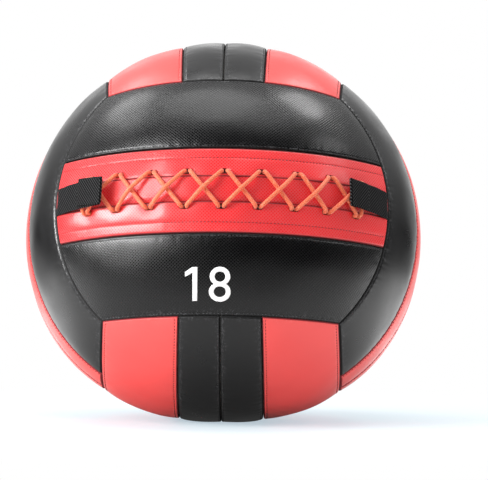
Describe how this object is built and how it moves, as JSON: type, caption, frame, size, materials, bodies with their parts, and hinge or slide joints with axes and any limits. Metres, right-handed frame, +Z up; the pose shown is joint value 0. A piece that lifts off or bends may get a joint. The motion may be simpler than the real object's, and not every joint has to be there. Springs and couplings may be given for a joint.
{
  "type": "wall ball",
  "caption": "Soft weighted exercise ball in a sewn vinyl skin, laced up at the front, with webbing tabs and a sand core.",
  "frame": {"origin": "middle of the flat foot that the ball rests on, under the ball's centre", "axes": "+Z up; the laced face looks along -Y and leans back; +X to the right of someone who looks at the lacing"},
  "size_m": [0.3686, 0.3725, 0.3554],
  "materials": {
    "red_vinyl": "embossed vinyl, satin",
    "black_vinyl": "embossed vinyl, satin",
    "webbing": "twill webbing",
    "lace": "braided round cord",
    "canvas": "plain canvas",
    "fibre": "matted fibre",
    "bag_cloth": "close-woven cloth",
    "iron_sand": "loose grains",
    "tie_cord": "cotton cord"
  },
  "bodies": {
    "ball": {"top_left_outer_panel": "red_vinyl", "top_right_outer_panel": "red_vinyl", "bottom_left_outer_panel": "red_vinyl", "bottom_right_outer_panel": "red_vinyl", "left_front_inner_panel": "red_vinyl", "left_rear_inner_panel": "red_vinyl", "right_front_inner_panel": "red_vinyl", "right_rear_inner_panel": "red_vinyl", "rear_lower_inner_panel": "red_vinyl", "rear_upper_inner_panel": "red_vinyl", "lace_flap_upper": "red_vinyl", "lace_flap_lower": "red_vinyl", "lace_tongue": "red_vinyl", "front_upper_panel": "black_vinyl", "front_lower_panel": "black_vinyl", "top_left_inner_panel": "black_vinyl", "top_right_inner_panel": "black_vinyl", "bottom_left_inner_panel": "black_vinyl", "bottom_right_inner_panel": "black_vinyl", "left_front_outer_panel": "black_vinyl", "left_rear_outer_panel": "black_vinyl", "right_front_outer_panel": "black_vinyl", "right_rear_outer_panel": "black_vinyl", "rear_lower_outer_panel": "black_vinyl", "rear_upper_outer_panel": "black_vinyl", "lace_facing_upper": "webbing", "lace_facing_lower": "webbing", "lace": "lace", "lace_knot": "lace", "liner_bag": "canvas", "fill_upper": "fibre", "fill_lower": "fibre", "weight_bag": "bag_cloth", "iron_sand": "iron_sand", "bag_tie": "tie_cord"},
    "left_tab": {"left_tab": "webbing"},
    "right_tab": {"right_tab": "webbing"}
  },
  "joints": [
    {"name": "left_tab_lift", "type": "hinge", "parent": "ball", "child": "left_tab", "pos_m": [-0.1505, -0.10163, 0.2026], "axis": [-0.0536, -0.2295, -0.9718], "range_deg": [0, 110]},
    {"name": "right_tab_lift", "type": "hinge", "parent": "ball", "child": "right_tab", "pos_m": [0.1505, -0.10163, 0.2026], "axis": [-0.0284, 0.2642, 0.964], "range_deg": [0, 110]}
  ]
}
